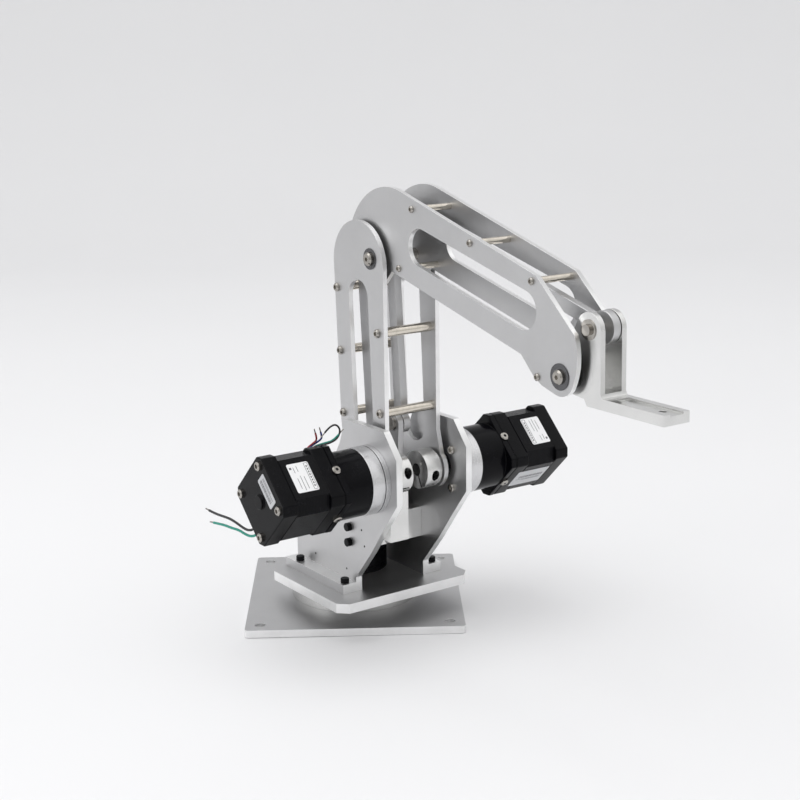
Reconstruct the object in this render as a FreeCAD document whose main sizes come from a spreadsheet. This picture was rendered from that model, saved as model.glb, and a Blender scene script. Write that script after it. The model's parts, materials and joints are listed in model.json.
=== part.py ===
"""Desktop three-axis robot arm with parallel links, on a turntable base.

Three geared square motors drive it: one stands on the turntable and turns the waist, two lie
on one axis across the uprights and turn the upper arm and the crank of the forearm.  Level
links keep the tool bracket upright.  Millimetres, +Z up, origin at the bottom centre of the
base plate.  The turret is stored turned by waist_rest_angle about +Z.

"Right" is the side of the elbow drive and "left" the side of the shoulder drive, seen from
behind the arm.  In the arm's frame X points outward from the shoulder axis, Y points to the
left and Z is the height above the floor.
"""
import FreeCAD, Part
import Sketcher
import math
import os

V = FreeCAD.Vector
Placement = FreeCAD.Placement
Rotation = FreeCAD.Rotation

doc = FreeCAD.newDocument("parallel_link_arm")

# ---------------------------------------------------------------- driving dimensions
SIZES = {
    # base and turntable
    "base_side": 140.0,
    "base_thick": 5.0,
    "base_corner_radius": 2.5,
    "base_hole_offset": 60.5,
    "base_hole_radius": 3.3,
    "ring_outer_radius": 42.5,
    "ring_lower_inner_radius": 37.5,
    "ring_lower_height": 6.5,
    "ring_upper_outer_radius": 34.5,
    "ring_upper_inner_radius": 27.0,
    "ring_upper_bottom": 6.0,
    "ball_radius": 2.0,
    "ball_pitch_radius": 36.0,
    "ball_height": 8.6,
    "ball_race_radius": 2.05,
    "ball_count": 12,
    "ring_screw_radius": 1.25,
    "ring_screw_pitch_radius": 40.6,
    # turret
    "waist_rest_angle": -56.4,
    "shoulder_reach": 64.8,
    "shoulder_height": 102.94,
    "plate_bottom": 17.3,
    "plate_thick": 6.3,
    "plate_half_width": 51.0,
    "plate_front": 61.9,
    "plate_back": -26.3,
    "plate_corner": 6.2,
    "upright_inner": 24.17,
    "upright_thick": 4.48,
    "foot_reach": 9.85,
    "foot_thick": 6.0,
    "foot_screw_side": 34.2,
    "stop_block_reach": 10.7,
    # screws
    "screw_radius": 1.5,
    "cap_head_radius": 2.75,
    "cap_head_height": 3.0,
    "socket_radius": 1.44,
    "socket_depth": 1.6,
    "pan_head_height": 1.9,
    # drives
    "motor_side": 42.3,
    "cap_corner": 4.2,
    "stator_corner": 7.5,
    "gearbox_front_radius": 21.5,
    "gearbox_front_length": 13.1,
    "front_groove_place": 3.6,
    "front_groove_width": 0.5,
    "front_groove_depth": 0.5,
    "gearbox_radius": 21.0,
    "gearbox_length": 19.2,
    "adapter_thick": 4.0,
    "front_cap_length": 10.0,
    "stator_length": 23.0,
    "rear_cap_length": 10.0,
    "waist_motor_length": 34.0,
    "pilot_radius": 11.0,
    "pilot_height": 2.0,
    "drive_shaft_radius": 4.0,
    "running_gap": 0.05,
    "gearbox_screw_offset": 12.4,
    "motor_screw_offset": 15.5,
    "rear_boss_radius": 4.5,
    "rear_boss_height": 1.4,
    # hubs
    "hub_radius": 12.2,
    "hub_slit": 1.2,
    "clamp_screw_offset": 7.6,
    "clamp_screw_seat": 3.6,
    "hub_mark_radius": 1.2,
    # pivots
    "pin_radius": 2.45,
    "eye_bore_radius": 2.5,
    "pin_head_radius": 3.4,
    "axle_radius": 4.0,
    "journal_radius": 2.95,
    "bearing_bore_radius": 3.0,
    "elbow_bearing_radius": 6.5,
    "wrist_bearing_radius": 7.25,
    "shoulder_bearing_radius": 8.0,
    # plates, links and spacers
    "arm_plate_thick": 3.0,
    "arm_plate_inner": 17.9,
    "forearm_plate_thick": 3.0,
    "forearm_plate_inner": 12.42,
    "arm_spacer_radius": 3.0,
    "forearm_spacer_radius": 2.0,
    "forearm_screw_radius": 1.0,
    "link_thick": 5.0,
    "level_link_half_width": 4.0,
    "drive_link_half_width": 6.0,
    "eye_radius": 6.5,
    "tool_eye_radius": 9.0,
    # tool bracket
    "bracket_half_width": 9.0,
    "ear_inner": 5.8,
    "foot_channel_half_width": 4.6,
    "foot_channel_depth": 1.2,
    "tool_hole_radius": 2.1,
    # motor leads
    "lead_diameter": 1.6,
}

sheet = doc.addObject("Spreadsheet::Sheet", "sizes")
for row, (alias, value) in enumerate(SIZES.items(), start=1):
    sheet.set("A%d" % row, alias)
    sheet.set("B%d" % row, str(value))
    sheet.setAlias("B%d" % row, alias)
doc.recompute()


def size(alias):
    """The value of one cell, for geometry that code works out."""
    return float(sheet.get(alias))


# ---------------------------------------------------------------- frames and pivots
REACH = size("shoulder_reach")
SHOULDER_Z = size("shoulder_height")
FIXED = Placement()
TURRET = Placement(V(0, 0, 0), Rotation(V(0, 0, 1), size("waist_rest_angle")))
ARM = TURRET.multiply(Placement(V(REACH, 0, 0), Rotation()))

SHOULDER = (0.0, SHOULDER_Z)
ELBOW = (-9.05, 237.7)
WRIST = (159.6, 193.2)
CRANK_OFFSET = (-24.0, 7.0)
LEVEL_OFFSET = (-12.0, 29.0)
TOOL_OFFSET = (14.7, 26.6)


def offset(point, step):
    return (point[0] + step[0], point[1] + step[1])


CRANK_PIN = offset(SHOULDER, CRANK_OFFSET)
LOBE_PIN = offset(ELBOW, CRANK_OFFSET)
LEVEL_PIVOT = offset(SHOULDER, LEVEL_OFFSET)
TRIANGLE_REAR = offset(ELBOW, LEVEL_OFFSET)
TRIANGLE_FRONT = offset(ELBOW, TOOL_OFFSET)
TOOL_PIVOT = offset(WRIST, TOOL_OFFSET)

ARM_SPACERS = [(-46.1, 216.0), (-43.7, 176.1), (-41.8, 136.1), (-2.1, 192.8), (-0.5, 143.0)]
FOREARM_SPACERS = [(27.3, 270.2), (82.6, 256.0), (136.0, 241.1), (141.4, 190.0), (13.7, 233.9)]
TIE_SCREWS = [(-26.0, 65.4), (-26.0, 55.2)]
FOOT_SCREWS = (-78.7, -24.5)
SIDES = {"right": -1, "left": 1}

nodes = []


def node(obj, label, frame):
    """Names a finished sub-part and puts it in its frame."""
    obj.Label = label
    obj.Placement = frame.multiply(obj.Placement)
    nodes.append(obj)
    return obj


def bind(obj, name, expression):
    obj.setExpression(name, expression)


# ---------------------------------------------------------------- building blocks
def rod(name, radius, length, at, axis):
    """A round bar that starts at a point and runs along an axis."""
    bar = doc.addObject("Part::Cylinder", name)
    bind(bar, "Radius", radius)
    bind(bar, "Height", length)
    bar.Placement = Placement(V(*at), Rotation(V(0, 0, 1), V(*axis)))
    return bar


def across(name, radius, point, low, high):
    """A round bar across the arm, between two values of Y, at a point of the arm's plane."""
    return rod(name, radius, "%.4f" % (high - low), (point[0], low, point[1]), (0, 1, 0))


def joined(name, *pieces):
    fuse = doc.addObject("Part::MultiFuse", name)
    fuse.Shapes = list(pieces)
    return fuse


def bored(name, base, *holes):
    cut = doc.addObject("Part::Cut", name)
    cut.Base = base
    cut.Tool = holes[0] if len(holes) == 1 else joined(name + "_holes", *holes)
    return cut


def add_loop(sketch, loop):
    """A closed outline: pairs are line ends, fours are an arc's middle and end."""
    start = V(loop[0][0], loop[0][1], 0)
    here = start
    for step in loop[1:]:
        there = V(step[-2], step[-1], 0)
        if len(step) == 2:
            sketch.addGeometry(Part.LineSegment(here, there), False)
        else:
            sketch.addGeometry(Part.Arc(here, V(step[0], step[1], 0), there), False)
        here = there
    if here.distanceToPoint(start) > 1e-6:
        sketch.addGeometry(Part.LineSegment(here, start), False)


def add_sketch(body, name, plane, loops, holes=()):
    """A sketch on one of the body's own planes; each hole is (x, y, radius expression)."""
    sketch = body.newObject("Sketcher::SketchObject", name)
    support = next(o for o in body.Origin.OriginFeatures if o.Role == plane)
    sketch.AttachmentSupport = [(support, "")]
    sketch.MapMode = "FlatFace"
    for loop in loops:
        add_loop(sketch, loop)
    for x, y, radius in holes:
        circle = sketch.addGeometry(Part.Circle(V(x, y, 0), V(0, 0, 1), 1.0), False)
        index = sketch.addConstraint(Sketcher.Constraint("Radius", circle, 1.0))
        sketch.setExpression("Constraints[%d]" % index, radius)
    return sketch


def pad(body, name, sketch, length, reverse=False):
    feature = body.newObject("PartDesign::Pad", name)
    feature.Profile = sketch
    feature.Reversed = reverse
    bind(feature, "Length", length)
    return feature


def pocket(body, name, sketch, length, reverse=False):
    """Removes the sketch's shape and checks that material really went."""
    doc.recompute()
    before = body.Shape.Volume
    feature = body.newObject("PartDesign::Pocket", name)
    feature.Profile = sketch
    feature.Reversed = reverse
    bind(feature, "Length", length)
    doc.recompute()
    if body.Shape.Volume > before - 0.01:
        raise RuntimeError("%s removes nothing" % name)
    return feature


def side_plate(label, loops, holes, thick, face, side):
    """A plate in the arm's plane that grows from one face, to the left (1) or right (-1)."""
    body = doc.addObject("PartDesign::Body", label + "_body")
    sketch = add_sketch(body, label + "_outline", "XZ_Plane", loops, holes)
    pad(body, label + "_pad", sketch, thick, side > 0)
    body.Placement = Placement(V(0, face, 0), Rotation())
    return node(body, label, ARM)


def level_plate(label, loops, holes, thick, bottom, frame):
    """A plate that lies flat and grows upward from its bottom."""
    body = doc.addObject("PartDesign::Body", label + "_body")
    sketch = add_sketch(body, label + "_outline", "XY_Plane", loops, holes)
    pad(body, label + "_pad", sketch, thick)
    body.Placement = Placement(V(0, 0, bottom), Rotation())
    return node(body, label, frame)


def on_circle(centre, radius, degrees):
    angle = math.radians(degrees)
    return (centre[0] + radius * math.cos(angle), centre[1] + radius * math.sin(angle))


def bar_loop(start, end, half_width, start_radius, end_radius):
    """A link's outline: two round eyes joined by a straight bar."""
    length = math.hypot(end[0] - start[0], end[1] - start[1])
    heading = math.degrees(math.atan2(end[1] - start[1], end[0] - start[0]))
    low = math.degrees(math.asin(half_width / start_radius))
    high = math.degrees(math.asin(half_width / end_radius))
    if length < start_radius + end_radius:
        raise RuntimeError("a link's eyes overlap")
    first = [on_circle(start, start_radius, heading + turn) for turn in (low, 180, -low)]
    last = [on_circle(end, end_radius, heading + turn) for turn in (180 + high, 0, 180 - high)]
    return [first[0], (*first[1], *first[2]), last[0], (*last[1], *last[2]), first[0]]


def rounded_rectangle(half_x, half_y, radius):
    k = radius * (1 - math.sqrt(0.5))
    return [
        (half_x - radius, -half_y),
        (half_x - k, -half_y + k, half_x, -half_y + radius),
        (half_x, half_y - radius),
        (half_x - k, half_y - k, half_x - radius, half_y),
        (-half_x + radius, half_y),
        (-half_x + k, half_y - k, -half_x, half_y - radius),
        (-half_x, -half_y + radius),
        (-half_x + k, -half_y + k, -half_x + radius, -half_y),
    ]


def chamfered_square(side, corner):
    h = side / 2
    c = h - corner
    return [(h, -c), (h, c), (c, h), (-c, h), (-h, c), (-h, -c), (-c, -h), (c, -h)]


def screw(name, head_radius, head_height, shank_radius, shank_length, rounding):
    """A socket screw: the head stands on Z = 0 and the shank hangs below it."""
    edge = doc.addObject("Part::Cone", name + "_edge")
    bind(edge, "Radius1", head_radius)
    bind(edge, "Radius2", "(%s) - %s" % (head_radius, rounding))
    bind(edge, "Height", "%s" % rounding)
    straight = "(%s) - %s" % (head_height, rounding)
    bind(edge, "Placement.Base.z", straight)
    head = rod(name + "_head", head_radius, straight, (0, 0, 0), (0, 0, 1))
    shank = rod(name + "_shank", shank_radius, shank_length, (0, 0, 0), (0, 0, -1))
    socket = doc.addObject("Part::Prism", name + "_socket")
    socket.Polygon = 6
    bind(socket, "Circumradius", "min(sizes.socket_radius; 0.55 * (%s))" % head_radius)
    bind(socket, "Height", "sizes.socket_depth")
    bind(socket, "Placement.Base.z", "(%s) - 0.55 * (%s)" % (head_height, head_height))
    return bored(name, joined(name + "_whole", head, edge, shank), socket)


def fasteners(label, groups, frame):
    """Identical fasteners as separate solids; each place is (point, direction of the head)."""
    doc.recompute()
    solids = []
    for master, places in groups:
        for at, axis in places:
            copy = master.Shape.copy()
            copy.Placement = Placement(V(*at), Rotation(V(0, 0, 1), V(*axis)))
            solids.append(copy)
    group = doc.addObject("Part::Feature", label + "_group")
    group.Shape = Part.makeCompound(solids)
    return node(group, label, frame)


# ---------------------------------------------------------------- base and turntable
HOLE = size("base_hole_offset")
RING_SCREW = size("ring_screw_pitch_radius")
RING_SCREWS = [on_circle((0, 0), RING_SCREW, angle) for angle in (45, 135, 225, 315)]


def make_base_plate():
    half = size("base_side") / 2
    corners = [(x, y, "sizes.base_hole_radius") for x in (-HOLE, HOLE) for y in (-HOLE, HOLE)]
    shanks = [(x, y, "sizes.ring_screw_radius") for x, y in RING_SCREWS]
    shaft = [(0, 0, "sizes.drive_shaft_radius")]
    body = doc.addObject("PartDesign::Body", "base_plate_body")
    outline = rounded_rectangle(half, half, size("base_corner_radius"))
    sketch = add_sketch(body, "base_outline", "XY_Plane", [outline], corners + shanks + shaft)
    pad(body, "base_pad", sketch, "sizes.base_thick")
    heads = [(x, y, "2 * sizes.ring_screw_radius") for x, y in RING_SCREWS]
    seats = add_sketch(body, "base_screw_seats", "XY_Plane", [], heads)
    pocket(body, "base_seats", seats, "2", True)
    node(body, "base_plate", FIXED)


def make_turntable():
    top = size("base_thick")
    race = doc.addObject("Part::Torus", "ball_race")
    bind(race, "Radius1", "sizes.ball_pitch_radius")
    bind(race, "Radius2", "sizes.ball_race_radius")
    race.Placement = Placement(V(0, 0, size("ball_height")), Rotation())

    height = "sizes.ring_lower_height"
    lower = rod("lower_ring", "sizes.ring_outer_radius", height, (0, 0, top), (0, 0, 1))
    lower_bore = rod("lower_bore", "sizes.ring_lower_inner_radius", "20", (0, 0, 0), (0, 0, 1))
    threads = [
        rod("ring_thread_%d" % i, "sizes.ring_screw_radius", "4", (x, y, top), (0, 0, 1))
        for i, (x, y) in enumerate(RING_SCREWS)
    ]
    node(bored("turntable_lower", lower, lower_bore, race, *threads), "turntable_lower_ring", FIXED)

    height = size("plate_bottom") - size("ring_upper_bottom")
    foot = (0, 0, size("ring_upper_bottom"))
    upper = rod("upper_ring", "sizes.ring_upper_outer_radius", str(height), foot, (0, 0, 1))
    upper_bore = rod("upper_bore", "sizes.ring_upper_inner_radius", "20", (0, 0, 0), (0, 0, 1))
    upper_race = doc.copyObject(race)
    node(bored("turntable_upper", upper, upper_bore, upper_race), "turntable_upper_ring", TURRET)

    ball = doc.addObject("Part::Sphere", "ball")
    bind(ball, "Radius", "sizes.ball_radius")
    count = int(size("ball_count"))
    circle = [on_circle((0, 0), size("ball_pitch_radius"), 360 * i / count) for i in range(count)]
    places = [((x, y, size("ball_height")), (0, 0, 1)) for x, y in circle]
    fasteners("turntable_balls", [(ball, places)], FIXED)

    thread = "sizes.ring_screw_radius"
    ring_screw = screw("ring_screw", "2 * " + thread, "1.5", thread, "5.5", 0.3)
    places = [((x, y, 2.0), (0, 0, -1)) for x, y in RING_SCREWS]
    fasteners("turntable_screws", [(ring_screw, places)], FIXED)

    inside = size("plate_bottom") + size("plate_thick") + 10 - 1
    shaft = rod("waist_shaft_bar", "sizes.drive_shaft_radius", str(inside), (0, 0, 1), (0, 0, 1))
    node(shaft, "waist_shaft", FIXED)


# ---------------------------------------------------------------- turret
GEARBOX_SCREW = size("gearbox_screw_offset")
GEARBOX_SCREWS = [(x * GEARBOX_SCREW, y * GEARBOX_SCREW) for x in (-1, 1) for y in (-1, 1)]
PLATE_TOP = size("plate_bottom") + size("plate_thick")


def make_rotating_plate():
    front = size("plate_front")
    back = size("plate_back")
    half = size("plate_half_width")
    c = size("plate_corner")
    outline = [
        (front, -half + c), (front, half - c), (front - c, half), (back + c, half),
        (back, half - c), (back, -half + c), (back + c, -half), (front - c, -half),
    ]
    holes = [(0, 0, "sizes.pilot_radius")]
    holes += [(x, y, "sizes.screw_radius") for x, y in GEARBOX_SCREWS]
    side = size("foot_screw_side")
    holes += [(REACH + x, s * side, "sizes.screw_radius") for x in FOOT_SCREWS for s in (-1, 1)]
    level_plate("rotating_plate", [outline], holes, "sizes.plate_thick", size("plate_bottom"), TURRET)


UPRIGHT = [
    (-28.7, 135.5), (-31.0, 130.0), (-36.0, 118.0), (-58.0, 84.0), (-91.0, 41.0), (-91.0, PLATE_TOP),
    (-19.8, PLATE_TOP), (-19.8, 33.0), (-2.0, 53.9), (12.2, 72.8), (27.0, 91.5), (27.0, 120.0),
    (14.0, 135.5),
]


def make_upright(name, side):
    """An upright with a foot flange that points outward."""
    face = side * size("upright_inner")
    holes = [(0, SHOULDER_Z, "sizes.pilot_radius")]
    holes += [(x, SHOULDER_Z + z, "sizes.screw_radius") for x, z in GEARBOX_SCREWS]
    holes += [(x, z, "sizes.screw_radius") for x, z in TIE_SCREWS]
    body = doc.addObject("PartDesign::Body", name + "_upright_body")
    sketch = add_sketch(body, name + "_upright_outline", "XZ_Plane", [UPRIGHT], holes)
    pad(body, name + "_upright_pad", sketch, "sizes.upright_thick", side > 0)
    top = PLATE_TOP + size("foot_thick")
    flange = [(-90.6, PLATE_TOP), (-19.8, PLATE_TOP), (-19.8, top), (-90.6, top)]
    sketch = add_sketch(body, name + "_flange_outline", "XZ_Plane", [flange])
    pad(body, name + "_flange", sketch, "sizes.upright_thick + sizes.foot_reach", side > 0)
    # holes for the foot screws, in the body's own frame, whose origin lies on the inner face
    out = side * (size("foot_screw_side") - size("upright_inner"))
    holes = [(x, out, "sizes.screw_radius") for x in FOOT_SCREWS]
    sketch = add_sketch(body, name + "_foot_holes", "XY_Plane", [], holes)
    pocket(body, name + "_foot_bores", sketch, "40", True)
    body.Placement = Placement(V(0, face, 0), Rotation())
    node(body, name + "_upright", ARM)


def make_tie_bar():
    bar = doc.addObject("Part::Box", "tie_bar_block")
    bar.Length = 10
    bind(bar, "Width", "2 * sizes.upright_inner")
    bar.Height = 20
    bar.Placement = Placement(V(-31, -size("upright_inner"), 50), Rotation())
    inner = size("upright_inner")
    threads = [
        across("tie_thread_%d_%d" % (i, k), "sizes.screw_radius", spot, low, low + 8)
        for i, spot in enumerate(TIE_SCREWS) for k, low in enumerate((-inner, inner - 8))
    ]
    node(bored("tie_bar_bored", bar, *threads), "tie_bar", ARM)


def make_level_anchor():
    """The fixed end of the level linkage: a plate on the tie bar that carries one pivot."""
    x, z = LEVEL_PIVOT
    r = size("eye_radius")
    outline = [(-21.0, 50.0), (-10.0, 56.0), (x + r, z), (x, z + r, x - r, z), (-21.0, 70.0)]
    side_plate("level_anchor", [outline], [(x, z, "sizes.pin_radius")], "4", 0.0, -1)
    pin = across("level_pivot_bar", "sizes.pin_radius", LEVEL_PIVOT, -4.0, 5.8)
    near = across("level_pivot_head", "4", LEVEL_PIVOT, -5.5, -4.0)
    far = across("level_pivot_end", "sizes.pin_head_radius", LEVEL_PIVOT, 5.8, 6.6)
    node(joined("level_pivot", pin, near, far), "level_pivot_pin", ARM)


def make_stop_block():
    """A bright block on the right upright, cut back below the crank hub."""
    outline = [(4.0, 64.0), (13.5, 64.0), (13.5, 95.0), (10.5, 93.0), (4.0, 88.5)]
    inner = size("upright_inner")
    body = doc.addObject("PartDesign::Body", "stop_block_body")
    sketch = add_sketch(body, "stop_block_outline", "XZ_Plane", [outline])
    pad(body, "stop_block_pad", sketch, "sizes.upright_inner - sizes.stop_block_reach")
    body.Placement = Placement(V(0, -size("stop_block_reach"), 0), Rotation())
    corner = (GEARBOX_SCREW, SHOULDER_Z - GEARBOX_SCREW)
    radius = "1.2 * sizes.cap_head_radius"
    relief = across("stop_block_relief", radius, corner, -inner - 1, -inner + 2.2)
    node(bored("stop_block_cut", body, relief), "stop_block", ARM)


def drive_frame(name):
    """Where a drive's mounting face lies; its local +Z runs along the motor."""
    if name == "waist":
        return TURRET.multiply(Placement(V(0, 0, PLATE_TOP), Rotation()))
    outer = size("upright_inner") + size("upright_thick")
    side = -1 if name == "elbow" else 1
    face = Placement(V(0, side * outer, SHOULDER_Z), Rotation(V(1, 0, 0), -90 * side))
    diamond = Placement(V(0, 0, 0), Rotation(V(0, 0, 1), 45))
    return ARM.multiply(face).multiply(diamond)


def square_piece(label, corner, holes, length, bottom, frame):
    loop = chamfered_square(size("motor_side"), size(corner))
    return level_plate(label, [loop], holes, length, bottom, frame)


def make_drive(name, screw_turn):
    """A planetary gearbox and its square motor, in order outward from the mounting face."""
    frame = drive_frame(name)
    front_length = size("gearbox_front_length")
    up = (0, 0, 1)
    radius = "sizes.gearbox_front_radius"
    flange = rod(name + "_flange", radius, "sizes.gearbox_front_length", (0, 0, 0), up)
    pilot = rod(name + "_pilot", "sizes.pilot_radius", "sizes.pilot_height", (0, 0, 0), (0, 0, -1))
    bore = rod(name + "_bore", "sizes.drive_shaft_radius + sizes.running_gap", "14", (0, 0, -3), up)
    turn = Rotation(V(0, 0, 1), -screw_turn)
    threads = []
    for i, (x, y) in enumerate(GEARBOX_SCREWS):
        spot = turn.multVec(V(x, y, 0))
        threads.append(rod("%s_thread_%d" % (name, i), "sizes.screw_radius", "6", spot, up))
    outer = "sizes.gearbox_front_radius + 1"
    inner = "sizes.gearbox_front_radius - sizes.front_groove_depth"
    low = (0, 0, size("front_groove_place"))
    rim = rod(name + "_groove_rim", outer, "sizes.front_groove_width", low, up)
    core = rod(name + "_groove_core", inner, "sizes.front_groove_width", low, up)
    groove = bored(name + "_groove", rim, core)
    whole = joined(name + "_front_whole", flange, pilot)
    node(bored(name + "_front", whole, bore, groove, *threads), name + "_drive_front", frame)

    can = rod(name + "_can", "sizes.gearbox_radius", "sizes.gearbox_length", (0, 0, front_length), up)
    start = front_length + size("gearbox_length")
    adapter = doc.addObject("PartDesign::Body", name + "_adapter")
    square = chamfered_square(size("motor_side"), size("cap_corner"))
    sketch = add_sketch(adapter, name + "_adapter_outline", "XY_Plane", [square])
    pad(adapter, name + "_adapter_pad", sketch, "sizes.adapter_thick")
    adapter.Placement = Placement(V(0, 0, start), Rotation())
    node(joined(name + "_gearbox_whole", can, adapter), name + "_drive_gearbox", frame)

    start += size("adapter_thick")
    if name == "waist":
        square_piece("waist_drive_motor", "cap_corner", [], "sizes.waist_motor_length", start, frame)
        return start + size("waist_motor_length")
    square_piece(name + "_drive_front_cap", "cap_corner", [], "sizes.front_cap_length", start, frame)
    start += size("front_cap_length")
    square_piece(name + "_drive_stator", "stator_corner", [], "sizes.stator_length", start, frame)
    start += size("stator_length")
    length = "sizes.rear_cap_length"
    rear = square_piece(name + "_drive_rear_cap", "cap_corner", [], length, start, frame)
    holes = [(0, 0, "sizes.rear_boss_radius")]
    boss = add_sketch(rear, name + "_rear_boss_outline", "XY_Plane", [], holes)
    pad(rear, name + "_rear_boss", boss, "sizes.rear_cap_length + sizes.rear_boss_height")
    return start + size("rear_cap_length")


def make_turret_screws(motor_ends):
    """Black socket screws of the feet and the tie bar, and the screws of the drives."""
    radii = ("sizes.cap_head_radius", "sizes.screw_radius")
    cap = screw("m3_cap", radii[0], "sizes.cap_head_height", radii[1], "10", 0.3)
    outer = size("upright_inner") + size("upright_thick")
    foot_top = PLATE_TOP + size("foot_thick")
    places = []
    for side in (-1, 1):
        places += [((x, side * outer, z), (0, side, 0)) for x, z in TIE_SCREWS]
        places += [((x, side * size("foot_screw_side"), foot_top), (0, 0, 1)) for x in FOOT_SCREWS]
    fasteners("frame_screws", [(cap, places)], ARM)

    head = "0.6 * sizes.cap_head_height"
    side_screw = screw("m3_side", radii[0], head, radii[1], "8", 0.5)
    floor_screw = screw("m3_floor", radii[0], head, radii[1], "10", 0.5)
    inner = size("upright_inner")
    side_places = [
        ((x, side * inner, SHOULDER_Z + z), (0, -side, 0))
        for x, z in GEARBOX_SCREWS for side in (-1, 1)
    ]
    floor_places = [((x - REACH, y, size("plate_bottom")), (0, 0, -1)) for x, y in GEARBOX_SCREWS]
    fasteners("gearbox_screws", [(side_screw, side_places), (floor_screw, floor_places)], ARM)

    make_motor_screws(motor_ends)


def make_motor_screws(motor_ends):
    """The heads of the screws that hold each motor together, on its outer end."""
    height = "sizes.pan_head_height"
    master = screw("m3_motor", "sizes.cap_head_radius", height, "sizes.screw_radius", "0.5", 0.6)
    doc.recompute()
    above = Part.makeBox(10, 10, 10, V(-5, -5, 0))
    head = master.Shape.common(above)
    step = size("motor_screw_offset")
    solids = []
    for name, end in motor_ends.items():
        for x, y in ((step, step), (step, -step), (-step, step), (-step, -step)):
            copy = head.copy()
            copy.Placement = drive_frame(name).multiply(Placement(V(x, y, end), Rotation()))
            solids.append(copy)
    group = doc.addObject("Part::Feature", "motor_screw_group")
    group.Shape = Part.makeCompound(solids)
    node(group, "motor_screws", FIXED)


# ---------------------------------------------------------------- hubs on the drive shafts
CRANK_CLAMP_TURN = 54.0
ARM_CLAMP_TURN = 28.0


def clamp_place(turn, reach, offset):
    """A point of a hub's clamp: reach along its screw, offset along its slit, turned about the hub."""
    turn = math.radians(turn)
    x = reach * math.cos(turn) + offset * math.sin(turn)
    return x, SHOULDER_Z + reach * math.sin(turn) - offset * math.cos(turn)


def clamp_way(turn):
    return (math.cos(math.radians(turn)), 0, math.sin(math.radians(turn)))


def make_hub(label, low, high, screw_y, turn, mark_y, extra=()):
    """A clamping hub: a round boss with a bore, a slit, a screw hole across it and a dowel hole."""
    boss = across(label + "_boss", "sizes.hub_radius", SHOULDER, low, high)
    slit = doc.addObject("Part::Box", label + "_slit")
    bind(slit, "Length", "sizes.hub_slit")
    slit.Width = high - low + 2
    slit.Height = 20
    x, z = clamp_place(turn, size("hub_slit") / 2, 0)
    slit.Placement = Placement(V(x, low - 1, z), Rotation(V(0, 1, 0), 180 - turn))
    bore = across(label + "_bore", "sizes.drive_shaft_radius", SHOULDER, low - 1, high + 4)
    offset = size("clamp_screw_offset")
    x, z = clamp_place(turn, -8, offset)
    shank = rod(label + "_cross", "sizes.screw_radius", "13.5", (x, screw_y, z), clamp_way(turn))
    x, z = clamp_place(turn, size("clamp_screw_seat"), offset)
    seat = rod(label + "_seat", "sizes.cap_head_radius", "12", (x, screw_y, z), clamp_way(turn))
    whole = joined(label + "_whole", boss, *extra) if extra else boss
    mark = (SHOULDER[0] + 5.1, SHOULDER[1] + 5.0)
    dowel = across(label + "_dowel", "sizes.hub_mark_radius", mark, mark_y - 2.5, mark_y + 2.5)
    node(bored(label + "_bored", whole, slit, bore, shank, seat, dowel), label, ARM)


def make_clamp_screw(label, screw_y, turn):
    head = "0.9 * sizes.cap_head_height"
    master = screw(label + "_master", "sizes.cap_head_radius", head, "sizes.screw_radius", "11.5", 0.3)
    x, z = clamp_place(turn, size("clamp_screw_seat"), size("clamp_screw_offset"))
    fasteners(label, [(master, [((x, screw_y, z), clamp_way(turn))])], ARM)


def make_hubs():
    lever_body = doc.addObject("PartDesign::Body", "crank_lever_body")
    loop = bar_loop(SHOULDER, CRANK_PIN, 5.5, 9.0, size("eye_radius"))
    holes = [(CRANK_PIN[0], CRANK_PIN[1], "sizes.eye_bore_radius")]
    sketch = add_sketch(lever_body, "crank_lever_outline", "XZ_Plane", [loop], holes)
    pad(lever_body, "crank_lever_pad", sketch, "4.4")
    lever_body.Placement = Placement(V(0, -11.5, 0), Rotation())
    make_hub("crank_hub", -15.9, -5.6, -9.3, CRANK_CLAMP_TURN, -5.6, [lever_body])
    make_clamp_screw("crank_clamp_screw", -9.3, CRANK_CLAMP_TURN)
    shaft = across("elbow_drive_bar", "sizes.drive_shaft_radius", SHOULDER, -39.0, -7.6)
    node(shaft, "elbow_drive_shaft", ARM)

    washer = across("arm_hub_step", "9", SHOULDER, 16.5, size("arm_plate_inner"))
    make_hub("arm_hub", 5.4, 16.5, 11.7, ARM_CLAMP_TURN, 5.4, [washer])
    make_clamp_screw("arm_clamp_screw", 11.7, ARM_CLAMP_TURN)
    shaft = across("shoulder_drive_bar", "sizes.drive_shaft_radius", SHOULDER, 7.8, 39.0)
    node(shaft, "shoulder_drive_shaft", ARM)


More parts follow.
